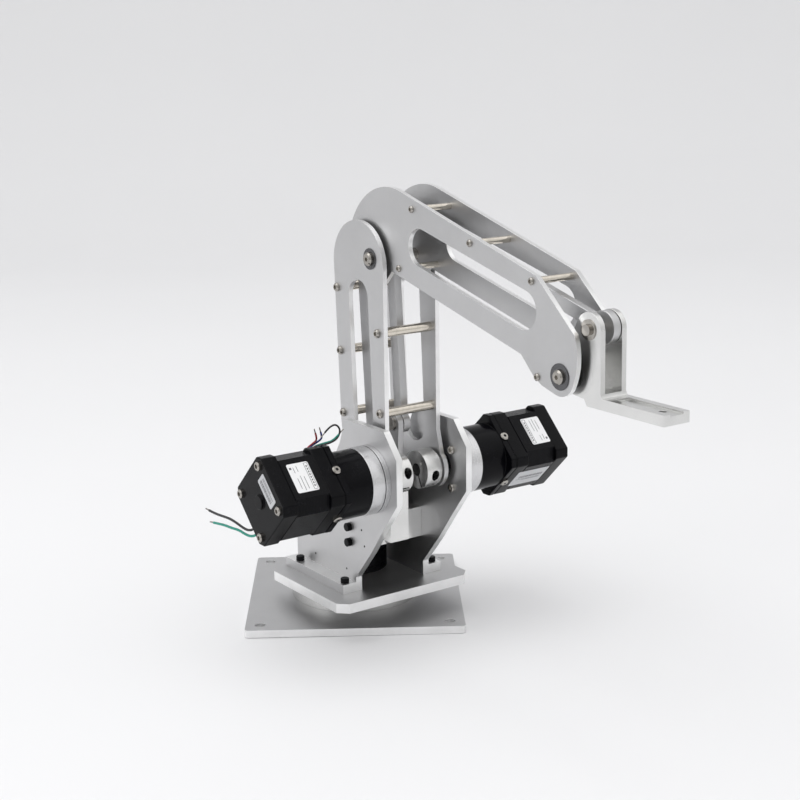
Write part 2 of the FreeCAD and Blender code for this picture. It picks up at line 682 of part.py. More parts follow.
# ---------------------------------------------------------------- upper arm
def make_upper_arm():
    head = (-22.6, 233.0)
    head_radius = 27.0
    boss_radius = 13.0
    outline = [
        (4.4, 128.0),
        (4.4, head[1]),
        (*on_circle(head, head_radius, 90), *on_circle(head, head_radius, 180)),
        (-45.0, 131.0),
        (-43.5, 118.0),
        on_circle(SHOULDER, boss_radius, 234.5),
        (*on_circle(SHOULDER, boss_radius, 322), *on_circle(SHOULDER, boss_radius, 50)),
    ]
    window = [
        (-12.3, 213.0),
        (-22.8, 223.5, -33.3, 213.0),
        (-29.6, 127.0),
        (-18.9, 116.3, -8.2, 127.0),
    ]
    screws = [(x, z, "sizes.screw_radius") for x, z in ARM_SPACERS]
    inner = size("arm_plate_inner")
    for name, side in SIDES.items():
        centre = "sizes.shoulder_bearing_radius" if side < 0 else "sizes.drive_shaft_radius"
        holes = screws + [(*ELBOW, "sizes.elbow_bearing_radius"), (*SHOULDER, centre)]
        label = name + "_arm_plate"
        side_plate(label, [outline, window], holes, "sizes.arm_plate_thick", side * inner, side)

    bars = []
    for i, (x, z) in enumerate(ARM_SPACERS):
        bar = across("arm_spacer_%d" % i, "sizes.arm_spacer_radius", (x, z), -inner, inner)
        threads = [
            across("arm_spacer_thread_%d_%d" % (i, k), "sizes.screw_radius", (x, z), low, low + 6)
            for k, low in enumerate((-inner, inner - 6))
        ]
        bars.append((bored("arm_spacer_bored_%d" % i, bar, *threads), [((0, 0, 0), (0, 0, 1))]))
    fasteners("arm_spacers", bars, ARM)

    height = "sizes.pan_head_height"
    pan = screw("m3_pan", "sizes.cap_head_radius", height, "sizes.screw_radius", "8", 0.8)
    outer = inner + size("arm_plate_thick")
    places = [((x, side * outer, z), (0, side, 0)) for x, z in ARM_SPACERS for side in (-1, 1)]
    fasteners("arm_screws", [(pan, places)], ARM)

    rings = []
    for name, side in SIDES.items():
        low = side * 19.4 - 2.0
        ring = across(name + "_elbow_ring", "sizes.elbow_bearing_radius", ELBOW, low, low + 4.0)
        hole = across(name + "_elbow_ring_bore", "sizes.bearing_bore_radius", ELBOW, low - 1, low + 5.0)
        rings.append((bored(name + "_elbow_bearing", ring, hole), [((0, 0, 0), (0, 0, 1))]))
    ring = across("shoulder_ring", "sizes.shoulder_bearing_radius", SHOULDER, -21.4, -16.4)
    bore = "sizes.drive_shaft_radius + sizes.running_gap"
    hole = across("shoulder_ring_bore", bore, SHOULDER, -22.0, -16.0)
    rings.append((bored("shoulder_bearing", ring, hole), [((0, 0, 0), (0, 0, 1))]))
    fasteners("arm_bearings", rings, ARM)


# ---------------------------------------------------------------- linkage
def make_linkage():
    thick = "sizes.link_thick"
    eye = size("eye_radius")
    bore = "sizes.eye_bore_radius"
    half = size("drive_link_half_width")
    loop = bar_loop(CRANK_PIN, LOBE_PIN, half, eye, eye)
    side_plate("drive_link", [loop], [(*CRANK_PIN, bore), (*LOBE_PIN, bore)], thick, -6.0, -1)

    half = size("level_link_half_width")
    loop = bar_loop(LEVEL_PIVOT, TRIANGLE_REAR, half, eye, eye)
    holes = [(*LEVEL_PIVOT, bore), (*TRIANGLE_REAR, bore)]
    side_plate("rear_level_link", [loop], holes, thick, 0.5, 1)

    loop = bar_loop(TRIANGLE_FRONT, TOOL_PIVOT, half, eye, size("tool_eye_radius"))
    holes = [(*TRIANGLE_FRONT, bore), (*TOOL_PIVOT, bore)]
    side_plate("forearm_level_link", [loop], holes, thick, 0.5, 1)

    pin = across("crank_pin_bar", "sizes.pin_radius", CRANK_PIN, -16.0, -5.9)
    heads = [
        across("crank_pin_head_%d" % i, "sizes.pin_head_radius", CRANK_PIN, low, high)
        for i, (low, high) in enumerate(((-16.9, -16.0), (-5.9, -5.0)))
    ]
    node(joined("crank_pin_whole", pin, *heads), "crank_pin", ARM)

    r = eye
    hub = 8.5
    outline = [
        on_circle(ELBOW, hub, 200),
        (*on_circle(ELBOW, hub, 270), *on_circle(ELBOW, hub, 331)),
        on_circle(TRIANGLE_FRONT, r, 331),
        (*on_circle(TRIANGLE_FRONT, r, 30), *on_circle(TRIANGLE_FRONT, r, 88)),
        on_circle(TRIANGLE_REAR, r, 88),
        (*on_circle(TRIANGLE_REAR, r, 144), *on_circle(TRIANGLE_REAR, r, 200)),
    ]
    holes = [
        (*ELBOW, "sizes.axle_radius + sizes.running_gap"),
        (*TRIANGLE_REAR, "sizes.pin_radius"),
        (*TRIANGLE_FRONT, "sizes.pin_radius"),
    ]
    side_plate("elbow_triangle", [outline], holes, "4", 0.0, -1)
    pins = []
    for name, spot in (("rear", TRIANGLE_REAR), ("front", TRIANGLE_FRONT)):
        bar = across(name + "_pin_bar", "sizes.pin_radius", spot, -4.0, 5.8)
        near = across(name + "_pin_head", "sizes.pin_head_radius", spot, -5.0, -4.0)
        far = across(name + "_pin_end", "sizes.pin_head_radius", spot, 5.8, 6.6)
        pins.append((joined(name + "_pin_whole", bar, near, far), [((0, 0, 0), (0, 0, 1))]))
    fasteners("triangle_pins", pins, ARM)


# ---------------------------------------------------------------- forearm
def make_forearm():
    hump = (3.0, 237.0)
    hump_radius = 44.5
    outline = [
        on_circle(hump, hump_radius, 188),
        (*on_circle(hump, hump_radius, 130), *on_circle(hump, hump_radius, 74)),
        (139.5, 244.5),
        (170.5, 217.0),
        (172.8, 203.0, 168.4, 187.0),
        (163.5, 183.3, 156.5, 182.9),
        (145.0, 186.0),
        (138.0, 190.0),
        (127.5, 200.3),
        (6.0, 231.3),
        (-2.0, 223.0),
        (-10.0, 220.5, -18.0, 223.5),
    ]
    slot_start = (34.5, 248.5)
    slot_end = (129.0, 224.7)
    slot_radius = 11.0
    heading = math.degrees(math.atan2(slot_end[1] - slot_start[1], slot_end[0] - slot_start[0]))
    start = [on_circle(slot_start, slot_radius, heading + turn) for turn in (90, 180, 270)]
    end = [on_circle(slot_end, slot_radius, heading + turn) for turn in (-90, 0, 90)]
    window = [start[0], (*start[1], *start[2]), end[0], (*end[1], *end[2])]
    inner = size("forearm_plate_inner")
    outer = inner + size("forearm_plate_thick")
    holes = [(x, z, "sizes.forearm_screw_radius") for x, z in FOREARM_SPACERS]
    holes += [(*ELBOW, "sizes.journal_radius"), (*WRIST, "sizes.wrist_bearing_radius")]
    for name, side in SIDES.items():
        lobe = [(*LOBE_PIN, "sizes.pin_radius")] if side < 0 else []
        label = name + "_forearm_plate"
        thick = "sizes.forearm_plate_thick"
        side_plate(label, [outline, window], holes + lobe, thick, side * inner, side)

    bars = []
    for i, (x, z) in enumerate(FOREARM_SPACERS):
        bar = across("forearm_spacer_%d" % i, "sizes.forearm_spacer_radius", (x, z), -inner, inner)
        radius = "sizes.forearm_screw_radius"
        threads = [
            across("forearm_spacer_thread_%d_%d" % (i, k), radius, (x, z), low, low + 5)
            for k, low in enumerate((-inner, inner - 5))
        ]
        bars.append((bored("forearm_spacer_bored_%d" % i, bar, *threads), [((0, 0, 0), (0, 0, 1))]))
    fasteners("forearm_spacers", bars, ARM)

    small = screw("m2_pan", "2.1", "1.4", "sizes.forearm_screw_radius", "7", 0.6)
    places = [((x, side * outer, z), (0, side, 0)) for x, z in FOREARM_SPACERS for side in (-1, 1)]
    fasteners("forearm_screws", [(small, places)], ARM)

    end = 21.5
    axle = across("elbow_axle", "sizes.axle_radius", ELBOW, -inner, inner)
    journal = across("elbow_journal", "sizes.journal_radius", ELBOW, -end, end)
    threads = [
        across("elbow_thread_%d" % i, "sizes.screw_radius", ELBOW, low, low + 8)
        for i, low in enumerate((-end, end - 8))
    ]
    whole = joined("elbow_axle_whole", axle, journal)
    parts = [(bored("elbow_axle_bored", whole, *threads), [((0, 0, 0), (0, 0, 1))])]
    for name, side in SIDES.items():
        low = side * 16.35 - 0.93
        ring = across(name + "_elbow_spacer", "5", ELBOW, low, low + 1.86)
        hole = across(name + "_elbow_spacer_bore", "sizes.journal_radius", ELBOW, low - 1, low + 3)
        parts.append((bored(name + "_elbow_spacer_ring", ring, hole), [((0, 0, 0), (0, 0, 1))]))
    fasteners("elbow_shaft", parts, ARM)

    pan = screw("elbow_pan", "4.2", "2.2", "sizes.screw_radius", "7", 1.0)
    places = [((ELBOW[0], side * end, ELBOW[1]), (0, side, 0)) for side in (-1, 1)]
    fasteners("elbow_screws", [(pan, places)], ARM)

    pin = across("lobe_pin_bar", "sizes.pin_radius", LOBE_PIN, -outer, -5.9)
    heads = [
        across("lobe_pin_head_%d" % i, "sizes.pin_head_radius", LOBE_PIN, low, high)
        for i, (low, high) in enumerate(((-outer - 0.9, -outer), (-5.9, -5.0)))
    ]
    node(joined("lobe_pin_whole", pin, *heads), "lobe_pin", ARM)

    rings = []
    for name, side in SIDES.items():
        low = side * 13.9 - 2.0
        ring = across(name + "_wrist_ring", "sizes.wrist_bearing_radius", WRIST, low, low + 4.0)
        hole = across(name + "_wrist_ring_bore", "sizes.bearing_bore_radius", WRIST, low - 1, low + 5.0)
        rings.append((bored(name + "_wrist_bearing", ring, hole), [((0, 0, 0), (0, 0, 1))]))
    fasteners("wrist_bearings", rings, ARM)


# ---------------------------------------------------------------- tool bracket
FOOT_BOTTOM = 179.0
FOOT_TOP = 185.0
FOOT_TIP = 230.0
FOOT_HOLE_X = 220.0


def make_bracket():
    """A clevis with two ears, a closed back between them and a flat foot for the tool."""
    half = size("bracket_half_width")
    ear = 9.3
    outline = [
        (FOOT_TIP, FOOT_BOTTOM),
        (FOOT_TIP, FOOT_TOP),
        (185.4, FOOT_TOP),
        (184.1, 187.0),
        on_circle(TOOL_PIVOT, ear, 0),
        (*on_circle(TOOL_PIVOT, ear, 75), *on_circle(TOOL_PIVOT, ear, 150)),
        on_circle(WRIST, 9.7, 158),
        (*on_circle(WRIST, 9.7, 212), *on_circle(WRIST, 9.7, 266)),
        (162.7, 183.5),
        (171.3, 182.6),
        (173.7, FOOT_BOTTOM),
    ]
    body = doc.addObject("PartDesign::Body", "tool_bracket_body")
    holes = [(*WRIST, "sizes.axle_radius"), (*TOOL_PIVOT, "sizes.pin_radius")]
    sketch = add_sketch(body, "bracket_outline", "XZ_Plane", [outline], holes)
    pad(body, "bracket_pad", sketch, "2 * sizes.bracket_half_width")

    # the gap between the ears, open at the top, the front and the back above the web
    gap = [
        (176.0, 187.0), (200.0, 187.0), (200.0, 240.0), (140.0, 240.0), (140.0, 204.5), (168.0, 204.5),
    ]
    inner = size("ear_inner")
    body.Placement = Placement(V(0, half, 0), Rotation())
    doc.recompute()
    gap_body = doc.addObject("PartDesign::Body", "bracket_gap_body")
    sketch = add_sketch(gap_body, "bracket_gap_outline", "XZ_Plane", [gap])
    pad(gap_body, "bracket_gap_pad", sketch, "2 * sizes.ear_inner")
    gap_body.Placement = Placement(V(0, inner, 0), Rotation())
    channel = doc.addObject("Part::Box", "bracket_channel")
    channel.Length = 50
    bind(channel, "Width", "2 * sizes.foot_channel_half_width")
    channel.Height = 5
    depth = size("foot_channel_depth")
    side = -size("foot_channel_half_width")
    channel.Placement = Placement(V(190, side, FOOT_TOP - depth), Rotation())
    hole = rod("tool_hole", "sizes.tool_hole_radius", "20", (FOOT_HOLE_X, 0, 170), (0, 0, 1))
    node(bored("tool_bracket_cut", body, gap_body, channel, hole), "tool_bracket", ARM)


def make_wrist_shafts():
    end = 16.0
    axle = across("wrist_axle", "sizes.axle_radius", WRIST, -11.7, 11.7)
    journal = across("wrist_journal", "sizes.journal_radius", WRIST, -end, end)
    threads = [
        across("wrist_thread_%d" % i, "sizes.screw_radius", WRIST, low, low + 7)
        for i, low in enumerate((-end, end - 7))
    ]
    whole = joined("wrist_axle_whole", axle, journal)
    node(bored("wrist_axle_bored", whole, *threads), "wrist_shaft", ARM)
    pan = screw("wrist_pan", "4", "2", "sizes.screw_radius", "6.5", 0.9)
    places = [((WRIST[0], side * end, WRIST[1]), (0, side, 0)) for side in (-1, 1)]
    fasteners("wrist_screws", [(pan, places)], ARM)

    half = size("bracket_half_width")
    pieces = [across("tool_pivot_bar", "sizes.pin_radius", TOOL_PIVOT, -half, half)]
    for name, side in SIDES.items():
        for part, radius, reach in (("ring", "5.5", 0.6), ("head", "3", 2.2)):
            low = half if side > 0 else -half - reach
            label = "tool_pivot_%s_%s" % (part, name)
            pieces.append(across(label, radius, TOOL_PIVOT, low, low + reach))
    node(joined("tool_pivot_whole", *pieces), "bracket_pin", ARM)


# ---------------------------------------------------------------- motor leads
LEAD_ROUTES = {
    # two stiff leads that leave the elbow motor's rear cap and end bare behind it
    "elbow_motor_lead_black": [
        (-12.22, -103.1, 85.21), (-16.4, -103.3, 81.03), (-22.5, -103.7, 78.6), (-29.0, -103.9, 78.7),
        (-37.0, -104.2, 80.1), (-45.5, -104.2, 80.6), (-56.0, -104.0, 79.6), (-66.0, -103.6, 78.7),
        (-73.0, -103.4, 78.7),
    ],
    "elbow_motor_lead_green": [
        (-9.22, -103.1, 82.21), (-13.0, -103.5, 78.43), (-18.6, -104.1, 75.9), (-25.5, -104.4, 75.5),
        (-33.0, -104.4, 76.3), (-42.5, -104.6, 75.3), (-52.0, -104.3, 74.6), (-61.0, -104.0, 73.2),
        (-66.5, -104.0, 72.4),
    ],
}


def lead_tube(points, radius):
    """A tube along straight runs with tangent arcs, each as large as its two runs allow."""
    points = [V(*p) for p in points]
    edges = []
    radii = []
    here = points[0]
    for before, corner, after in zip(points, points[1:], points[2:]):
        into = corner - before
        out = after - corner
        trim = 0.45 * min(into.Length, out.Length)
        half_turn = into.getAngle(out) / 2
        radii.append(trim / math.tan(half_turn))
        start = corner - V(into).normalize() * trim
        end = corner + V(out).normalize() * trim
        middle_way = (V(out).normalize() - V(into).normalize()).normalize()
        sagitta = radii[-1] * (1 / math.cos(half_turn) - 1)
        middle = corner + middle_way * sagitta
        edges += [Part.LineSegment(here, start).toShape(), Part.Arc(start, middle, end).toShape()]
        here = end
    edges.append(Part.LineSegment(here, points[-1]).toShape())
    path = Part.Wire(edges)
    ring = Part.Wire(Part.makeCircle(radius, points[0], points[1] - points[0]))
    tube = path.makePipeShell([ring], True, False)
    ratio = tube.Volume / (math.pi * radius * radius * path.Length)
    print("lead length %.1f mm, radii %s, volume ratio %.4f"
          % (path.Length, ", ".join("%.0f" % r for r in radii), ratio))
    return tube


def make_leads():
    for label, route in LEAD_ROUTES.items():
        tube = doc.addObject("Part::Feature", label + "_tube")
        tube.Shape = lead_tube(route, size("lead_diameter") / 2)
        node(tube, label, ARM)


# ---------------------------------------------------------------- the whole arm
make_base_plate()
make_turntable()
make_rotating_plate()
for side_name, side_sign in SIDES.items():
    make_upright(side_name, side_sign)
make_tie_bar()
make_level_anchor()
make_stop_block()
ends = {name: make_drive(name, turn) for name, turn in (("elbow", 45), ("shoulder", 45), ("waist", 0))}
make_turret_screws(ends)
make_hubs()
make_upper_arm()
make_linkage()
make_forearm()
make_bracket()
make_wrist_shafts()
make_leads()

doc.recompute()
problems = [o.Name for o in doc.Objects if "Invalid" in o.State or "Error" in o.State]
problems += [o.Label for o in nodes if o.Shape.isNull() or not o.Shape.isValid() or not o.Shape.Solids]
if problems:
    raise RuntimeError("failed objects: %s" % ", ".join(problems))

os.makedirs("parts", exist_ok=True)
for obj in nodes:
    obj.Shape.exportStep("parts/%s.step" % obj.Label)
print("%d nodes written" % len(nodes))
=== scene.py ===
"""Looks of the parallel-link robot arm: materials, labels, motor details, leads, light and camera.

Places are in millimetres in the arm's own frame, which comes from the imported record's shoulder
joint: X outward from the shoulder axis, Y across to the left and Z up from the floor.
"""
import json
import math

import bmesh
import bpy
from mathutils import Matrix, Vector


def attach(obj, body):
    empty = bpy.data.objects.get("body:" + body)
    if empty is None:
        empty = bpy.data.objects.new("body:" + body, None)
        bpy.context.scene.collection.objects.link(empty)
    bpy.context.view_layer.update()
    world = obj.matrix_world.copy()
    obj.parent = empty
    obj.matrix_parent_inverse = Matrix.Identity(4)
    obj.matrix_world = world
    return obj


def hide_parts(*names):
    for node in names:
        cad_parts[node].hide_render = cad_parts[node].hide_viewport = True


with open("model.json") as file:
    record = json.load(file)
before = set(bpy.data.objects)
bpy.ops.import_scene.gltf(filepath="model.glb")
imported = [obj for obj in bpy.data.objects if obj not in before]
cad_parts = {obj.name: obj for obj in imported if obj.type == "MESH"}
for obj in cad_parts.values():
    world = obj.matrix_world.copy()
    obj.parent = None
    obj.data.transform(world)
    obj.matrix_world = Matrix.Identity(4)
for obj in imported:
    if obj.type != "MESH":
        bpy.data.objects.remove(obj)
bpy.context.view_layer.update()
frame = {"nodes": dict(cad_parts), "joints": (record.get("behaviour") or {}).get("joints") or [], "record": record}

MM = 0.001

# ---------------------------------------------------------------- the arm's frame
JOINTS = {joint["name"]: joint for joint in frame["joints"]}
ACROSS = Vector(JOINTS["shoulder"]["axis"]).normalized()
OUT = Vector((ACROSS.y, -ACROSS.x, 0))
UP = Vector((0, 0, 1))
SHOULDER = Vector(JOINTS["shoulder"]["pos_m"])
SHOULDER_HEIGHT = SHOULDER.z / MM
ARM_MATRIX = Matrix((
    (OUT.x, ACROSS.x, 0, SHOULDER.x),
    (OUT.y, ACROSS.y, 0, SHOULDER.y),
    (0, 0, 1, 0),
    (0, 0, 0, 1),
))


def arm(x, y, z):
    """A point of the arm's frame, given in millimetres, as a point of the row's frame in metres."""
    return ARM_MATRIX @ (Vector((x, y, z)) * MM)


# ---------------------------------------------------------------- camera
def add_camera():
    """The fitted view: azimuth and elevation of the line of sight, and a slight roll."""
    azimuth = math.radians(-1.38)
    elevation = math.radians(13.36)
    roll = math.radians(-0.78)
    target = Vector((31.86, 0, 136.01)) * MM
    distance = 1008.1 * MM
    back = Vector((
        math.sin(azimuth) * math.cos(elevation),
        -math.cos(azimuth) * math.cos(elevation),
        math.sin(elevation),
    ))
    right = Vector((math.cos(azimuth), math.sin(azimuth), 0))
    up = back.cross(right)
    side = right * math.cos(roll) + up * math.sin(roll)
    top = up * math.cos(roll) - right * math.sin(roll)
    data = bpy.data.cameras.new("camera")
    data.sensor_width = 36.0
    data.lens = 69.1
    data.clip_start = 0.05
    camera = bpy.data.objects.new("camera", data)
    bpy.context.scene.collection.objects.link(camera)
    matrix = Matrix((side, top, back)).transposed().to_4x4()
    matrix.translation = target + back * distance
    camera.matrix_world = matrix
    bpy.context.scene.camera = camera


add_camera()


# ---------------------------------------------------------------- node helpers
def new_material(name):
    """A material, its node tree and its Principled shader."""
    material = bpy.data.materials.new(name)
    material.use_nodes = True
    tree = material.node_tree
    shader = tree.nodes["Principled BSDF"]
    return material, tree, shader


def node(tree, kind, **values):
    """A new node; a value that isn't one of its inputs is one of its settings."""
    made = tree.nodes.new(kind)
    for key, value in values.items():
        if key in made.inputs:
            made.inputs[key].default_value = value
        else:
            setattr(made, key, value)
    return made


def position(tree, scale=(1, 1, 1)):
    """Object coordinates, which are the row's frame in metres, scaled."""
    coordinates = node(tree, "ShaderNodeTexCoord")
    mapping = node(tree, "ShaderNodeMapping")
    mapping.inputs["Scale"].default_value = scale
    tree.links.new(coordinates.outputs["Object"], mapping.inputs["Vector"])
    return mapping.outputs["Vector"]


def noise(tree, vector, scale, detail=3.0, rough=0.5):
    """Noise from 0 to 1, with that many blobs in a metre."""
    made = node(tree, "ShaderNodeTexNoise", Scale=scale, Detail=detail, Roughness=rough)
    tree.links.new(vector, made.inputs["Vector"])
    return made.outputs["Fac"]


def ramp(tree, value, low, high, start=0.0, end=1.0):
    """The value's range from start to end, mapped to low to high and held there outside it."""
    made = node(tree, "ShaderNodeMapRange")
    made.inputs["From Min"].default_value = start
    made.inputs["From Max"].default_value = end
    made.inputs["To Min"].default_value = low
    made.inputs["To Max"].default_value = high
    tree.links.new(value, made.inputs["Value"])
    return made.outputs["Result"]


def mix_colours(tree, factor, first, second):
    """The first colour at 0 and the second at 1; the first may be another node's output."""
    made = node(tree, "ShaderNodeMix", data_type="RGBA")
    if isinstance(first, tuple):
        made.inputs["A"].default_value = (*first, 1)
    else:
        tree.links.new(first, made.inputs["A"])
    made.inputs["B"].default_value = (*second, 1)
    tree.links.new(factor, made.inputs["Factor"])
    return [output for output in made.outputs if output.type == "RGBA"][0]


def scaled(shade, factor, lift=0.0):
    """A colour with each channel multiplied, then raised."""
    return tuple(channel * factor + lift for channel in shade)


def combine(tree, first, second, operation):
    """A sum or product; the second value may be a plain number."""
    made = node(tree, "ShaderNodeMath", operation=operation)
    tree.links.new(first, made.inputs[0])
    if isinstance(second, (int, float)):
        made.inputs[1].default_value = second
    else:
        tree.links.new(second, made.inputs[1])
    return made.outputs["Value"]


def bump(tree, shader, height, strength, distance):
    """Fine relief from a height value; the distance is in metres."""
    made = node(tree, "ShaderNodeBump", Strength=strength, Distance=distance)
    tree.links.new(height, made.inputs["Height"])
    tree.links.new(made.outputs["Normal"], shader.inputs["Normal"])


def reach_along(tree, direction):
    """How far a point lies along a direction, in metres."""
    coordinates = node(tree, "ShaderNodeTexCoord")
    dot = node(tree, "ShaderNodeVectorMath", operation="DOT_PRODUCT")
    dot.inputs[1].default_value = direction
    tree.links.new(coordinates.outputs["Object"], dot.inputs[0])
    return dot.outputs["Value"]


def lines_across(tree, direction, frequency):
    """A sine along a direction, with that many waves in a metre."""
    wave = combine(tree, reach_along(tree, direction), 2 * math.pi * frequency, "MULTIPLY")
    sine = node(tree, "ShaderNodeMath", operation="SINE")
    tree.links.new(wave, sine.inputs[0])
    return sine.outputs["Value"]


# ---------------------------------------------------------------- materials
# the painted shade of the groove round a gearbox's silver front: its distance from the arm's middle, in metres
GROOVE_PLACE = 0.0325
GROOVE_HALF = 0.0003
# painted shade: the near-black colour of the groove's band
GROOVE_PAINTED_SHADE = (0.01, 0.01, 0.012)


def blasted_aluminium(name, shade, rough):
    """Clear-anodised, bead-blasted aluminium: fine grain, faint clouds and handling marks."""
    material, tree, shader = new_material(name)
    place = position(tree)
    grain = noise(tree, place, 2600, 2.0, 0.6)
    clouds = noise(tree, place, 28, 4.0, 0.6)
    marks = noise(tree, position(tree, (1.0, 1.0, 7.0)), 160, 3.0, 0.7)
    colour = mix_colours(tree, ramp(tree, clouds, 0, 1, 0.3, 0.7), scaled(shade, 0.93), shade)
    tree.links.new(colour, shader.inputs["Base Color"])
    grainy = ramp(tree, grain, rough - 0.05, rough + 0.05)
    handled = ramp(tree, marks, -0.03, 0.04)
    tree.links.new(combine(tree, grainy, handled, "ADD"), shader.inputs["Roughness"])
    shader.inputs["Metallic"].default_value = 1.0
    bump(tree, shader, grain, strength=0.12, distance=0.00004)
    return material


def machined_aluminium(name, shade, rough, direction, lines, groove=None):
    """Machined aluminium with tool lines across a direction, and painted shade in a groove along the way."""
    material, tree, shader = new_material(name)
    place = position(tree)
    clouds = noise(tree, place, 60, 3.0, 0.6)
    grain = noise(tree, place, 1500, 2.0, 0.7)
    colour = mix_colours(tree, ramp(tree, clouds, 0, 1, 0.3, 0.7), scaled(shade, 0.9), shade)
    # painted shade: a dark band at the groove's distance along the direction stands in for the shade in the groove
    if groove:
        distance = node(tree, "ShaderNodeMath", operation="ABSOLUTE")
        tree.links.new(reach_along(tree, direction), distance.inputs[0])
        inside = node(tree, "ShaderNodeMath", operation="COMPARE")
        tree.links.new(distance.outputs["Value"], inside.inputs[0])
        inside.inputs[1].default_value = groove
        inside.inputs[2].default_value = GROOVE_HALF
        colour = mix_colours(tree, inside.outputs["Value"], colour, GROOVE_PAINTED_SHADE)
    tree.links.new(colour, shader.inputs["Base Color"])
    tree.links.new(ramp(tree, grain, rough - 0.06, rough + 0.06), shader.inputs["Roughness"])
    shader.inputs["Metallic"].default_value = 1.0
    height = combine(tree, lines_across(tree, direction, lines), grain, "ADD")
    bump(tree, shader, height, strength=0.10, distance=0.00004)
    return material


def black_coat(name, shade, rough, peel, lines=None):
    """Black paint over metal: slight orange peel, dust in the roughness, optional sheet lines."""
    material, tree, shader = new_material(name)
    place = position(tree)
    fine = noise(tree, place, 900, 2.0, 0.5)
    dust = noise(tree, place, 90, 5.0, 0.7)
    dusty = scaled(shade, 1.6, 0.0008)
    colour = mix_colours(tree, ramp(tree, dust, 0, 1, 0.45, 0.8), shade, dusty)
    tree.links.new(colour, shader.inputs["Base Color"])
    tree.links.new(ramp(tree, dust, rough - 0.05, rough + 0.10), shader.inputs["Roughness"])
    shader.inputs["Specular IOR Level"].default_value = 0.1
    height = fine
    if lines:
        sheets = combine(tree, lines_across(tree, ACROSS, lines), 2.0, "MULTIPLY")
        height = combine(tree, fine, sheets, "ADD")
    bump(tree, shader, height, strength=peel, distance=0.00012)
    return material


def bright_metal(name, shade, rough):
    """Plated or turned steel with light smears."""
    material, tree, shader = new_material(name)
    place = position(tree)
    smears = noise(tree, place, 220, 4.0, 0.6)
    colour = mix_colours(tree, ramp(tree, smears, 0, 1, 0.35, 0.75), shade, scaled(shade, 0.8))
    tree.links.new(colour, shader.inputs["Base Color"])
    tree.links.new(ramp(tree, smears, rough - 0.05, rough + 0.1), shader.inputs["Roughness"])
    shader.inputs["Metallic"].default_value = 1.0
    bump(tree, shader, noise(tree, place, 1800, 2.0, 0.5), strength=0.08, distance=0.00003)
    return material


def plastic(name, shade, rough):
    """Extruded plastic with a soft sheen."""
    material, tree, shader = new_material(name)
    place = position(tree)
    patches = noise(tree, place, 300, 3.0, 0.6)
    colour = mix_colours(tree, patches, scaled(shade, 0.8), shade)
    tree.links.new(colour, shader.inputs["Base Color"])
    tree.links.new(ramp(tree, patches, rough - 0.08, rough + 0.08), shader.inputs["Roughness"])
    bump(tree, shader, patches, strength=0.08, distance=0.00005)
    return material


def printed_label(name, shade, rough):
    """Smooth label film with a faint mottle."""
    material, tree, shader = new_material(name)
    place = position(tree)
    fibre = noise(tree, place, 700, 3.0, 0.6)
    colour = mix_colours(tree, fibre, scaled(shade, 0.94), shade)
    tree.links.new(colour, shader.inputs["Base Color"])
    tree.links.new(ramp(tree, fibre, rough - 0.05, rough + 0.08), shader.inputs["Roughness"])
    bump(tree, shader, fibre, strength=0.04, distance=0.00004)
    return material


# a look for each of the record's slots, and a few that only pieces made here have
MATERIALS = {
    "satin_aluminium": blasted_aluminium("satin_aluminium_look", (0.58, 0.58, 0.585), 0.42),
    "machined_aluminium": machined_aluminium("machined_look", (0.76, 0.76, 0.75), 0.24, UP, 1400),
    "gearbox_silver": machined_aluminium(
        "gearbox_silver_look", (0.70, 0.70, 0.71), 0.26, ACROSS, 1100, GROOVE_PLACE
    ),
    "gearbox_black": black_coat("gearbox_black_look", (0.002, 0.002, 0.003), 0.16, 0.08),
    "motor_black": black_coat("motor_black_look", (0.0022, 0.0022, 0.003), 0.22, 0.16),
    "stator_black": black_coat("stator_black_look", (0.002, 0.002, 0.003), 0.18, 0.22, 1000),
    # black steel; the same look is also painted shade on the shafts in the bores, the screw sockets and the small
    # holes in the uprights
    "black_steel": black_coat("black_steel_and_painted_shade_look", (0.003, 0.003, 0.004), 0.32, 0.1),
    "bright_steel": bright_metal("bright_steel_look", (0.42, 0.40, 0.37), 0.18),
    "nickel": bright_metal("nickel_look", (0.72, 0.67, 0.59), 0.10),
    "bearing_steel": bright_metal("bearing_steel_look", (0.13, 0.13, 0.135), 0.24),
    "cut_edge": machined_aluminium("cut_edge_look", (0.93, 0.93, 0.93), 0.34, UP, 900),
    "lead_black": plastic("lead_black_look", (0.015, 0.015, 0.016), 0.42),
    "lead_red": plastic("lead_red_look", (0.42, 0.012, 0.015), 0.42),
    "lead_blue": plastic("lead_blue_look", (0.012, 0.03, 0.28), 0.42),
    "lead_green": plastic("lead_green_look", (0.01, 0.30, 0.22), 0.42),
}
LABEL_WHITE = printed_label("label_white_look", (0.86, 0.86, 0.87), 0.38)
LABEL_SILVER = printed_label("label_silver_look", (0.55, 0.56, 0.58), 0.30)
LABEL_PRINT = printed_label("label_print_look", (0.10, 0.10, 0.11), 0.45)
SLOT_OF = {entry["node"]: entry["material_slot"] for entry in frame["record"]["subparts"]}


def paint_nodes():
    """Each CAD node gets its slot's look; the shafts, seen only down the hubs' bores, get the black look as
    painted shade in the bores.
    """
    for name, obj in frame["nodes"].items():
        # painted shade: the shafts take the black look so that the hubs' bores read dark
        look = MATERIALS["black_steel" if name.endswith("_drive_shaft") else SLOT_OF[name]]
        obj.data.materials.clear()
        obj.data.materials.append(look)


paint_nodes()


# --------------------------------------------------------------- softened copies of machined pieces
CUT_PLATES = (
    "base_plate", "rotating_plate", "right_upright", "left_upright", "right_arm_plate",
    "left_arm_plate", "right_forearm_plate", "left_forearm_plate", "drive_link",
)
FLAT_ANGLE = math.radians(0.6)
SHARP_ANGLE = math.radians(40)
SAME_POINT = 1e-6
EDGE_FACE_COSINE = 0.7


